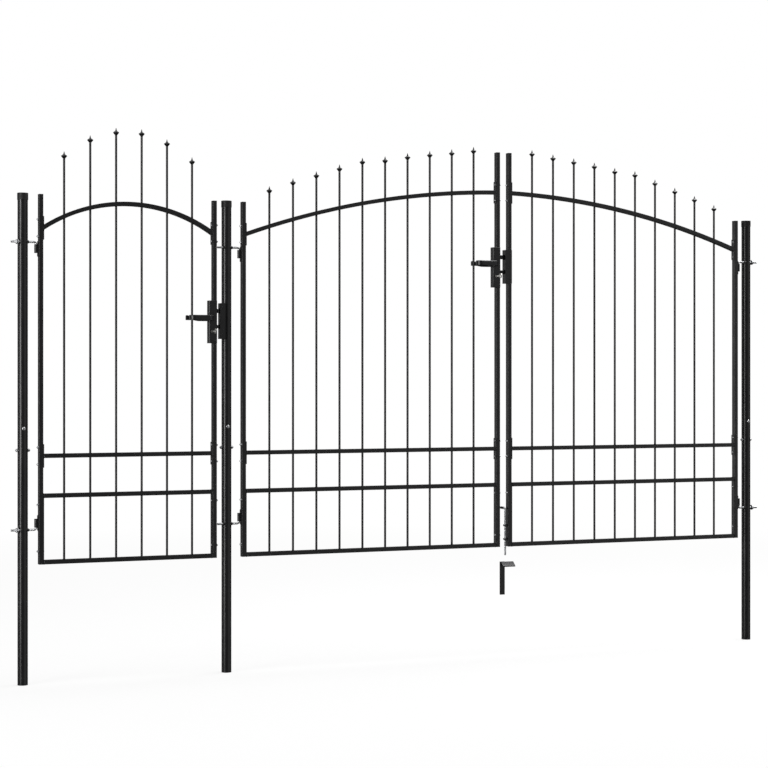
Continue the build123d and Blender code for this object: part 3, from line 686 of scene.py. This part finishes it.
def surroundings():
    """White to the camera; mirrored, pale behind on the left and above, grey on the right, else dim."""
    world = bpy.data.worlds.new("studio")
    world.use_nodes = True
    tree = world.node_tree
    background = tree.nodes["Background"]
    background.inputs["Color"].default_value = WHITE
    place = tree.nodes.new("ShaderNodeTexCoord")
    left = remap(tree, nearness(tree, place, LEFT_BEHIND), LEFT_NEARNESS, (MIRRORED_DIM, MIRRORED_LEFT))
    above = remap(tree, nearness(tree, place, STRAIGHT_UP), TOP_NEARNESS, (MIRRORED_DIM, MIRRORED_TOP))
    right = remap(tree, nearness(tree, place, RIGHT_FRONT), RIGHT_NEARNESS, (MIRRORED_DIM, MIRRORED_RIGHT))
    sides = math_node(tree, "MAXIMUM", left, right)
    mirrored = math_node(tree, "MAXIMUM", sides, above)
    path = tree.nodes.new("ShaderNodeLightPath")
    through = math_node(tree, "MAXIMUM", path.outputs["Is Glossy Ray"], path.outputs["Is Transmission Ray"])
    lit = remap(tree, through, (0, 1), (AMBIENT, mirrored))
    strength = remap(tree, path.outputs["Is Camera Ray"], (0, 1), (lit, 1))
    tree.links.new(strength, background.inputs["Strength"])
    bpy.context.scene.world = world


def floor():
    """Pale floor at the posts' feet that keeps a faint shadow and melts into the background further out."""
    mesh = bmesh.new()
    bmesh.ops.create_grid(mesh, x_segments=1, y_segments=1, size=FLOOR_SIZE / 2)
    data = bpy.data.meshes.new("floor")
    mesh.to_mesh(data)
    mesh.free()
    material, tree, shader = new_material("floor")
    shader.inputs["Base Color"].default_value = (FLOOR_TONE, FLOOR_TONE, FLOOR_TONE, 1)
    shader.inputs["Roughness"].default_value = 1.0
    shader.inputs["Specular IOR Level"].default_value = 0.0
    glow = tree.nodes.new("ShaderNodeEmission")
    glow.inputs["Color"].default_value = WHITE
    glow.inputs["Strength"].default_value = FLOOR_GLOW
    blend = tree.nodes.new("ShaderNodeMixShader")
    place = tree.nodes.new("ShaderNodeTexCoord")
    distance = tree.nodes.new("ShaderNodeVectorMath")
    distance.operation = "LENGTH"
    tree.links.new(place.outputs["Object"], distance.inputs[0])
    outwards = remap(tree, distance.outputs["Value"], FLOOR_GLOW_RADII, FLOOR_GLOW_SHARES)
    path = tree.nodes.new("ShaderNodeLightPath")
    share = math_node(tree, "MULTIPLY", path.outputs["Is Camera Ray"], outwards)
    tree.links.new(share, blend.inputs["Fac"])
    tree.links.new(shader.outputs["BSDF"], blend.inputs[1])
    tree.links.new(glow.outputs["Emission"], blend.inputs[2])
    tree.links.new(blend.outputs["Shader"], tree.nodes["Material Output"].inputs["Surface"])
    data.materials.append(material)
    ground = bpy.data.objects.new("floor", data)
    ground.location = FLOOR_CENTRE
    ground.visible_glossy = False
    bpy.context.scene.collection.objects.link(ground)


def softboxes():
    """A tall softbox to the left that draws the highlight on the posts, and one overhead."""
    for name, place, target, size, power in SOFTBOXES:
        lamp = bpy.data.lights.new(name, "AREA")
        lamp.shape = "RECTANGLE"
        lamp.size, lamp.size_y = size
        lamp.energy = power
        holder = bpy.data.objects.new(name, lamp)
        holder.location = place
        holder.rotation_euler = (Vector(target) - Vector(place)).to_track_quat("-Z", "Y").to_euler()
        bpy.context.scene.collection.objects.link(holder)


def camera():
    """The photograph's viewpoint: level, a little below eye height, turned to the right."""
    lens = bpy.data.cameras.new("camera")
    lens.sensor_width = SENSOR_WIDTH
    lens.lens = FOCAL_PIXELS / IMAGE_SIZE * SENSOR_WIDTH
    lens.shift_y = -HORIZON_ABOVE_MIDDLE / IMAGE_SIZE
    lens.clip_end = FAR_CLIP
    holder = bpy.data.objects.new("camera", lens)
    holder.location = CAMERA_PLACE
    holder.rotation_euler = (math.radians(CAMERA_TILT_DEG), 0, math.radians(-CAMERA_YAW_DEG))
    bpy.context.scene.collection.objects.link(holder)
    bpy.context.scene.camera = holder


dress_cad_nodes()
post_splice_bolts()
hinge_nuts()
hinge_rod_sleeves()
hinge_rod_threads()
for leaf_name in LEAVES:
    frame_bolts(leaf_name)
    leaf_welds(leaf_name)
    hinge_eye_fixings(leaf_name)
for lock_name in LOCK_BODIES:
    lock_screws(lock_name)
keep_screws("single", "posts")
keep_screws("double", "right_leaf")
drop_guide_screws()
ground_stop_welds()
surroundings()
floor()
softboxes()
camera()
bpy.context.scene.view_settings.view_transform = "Standard"
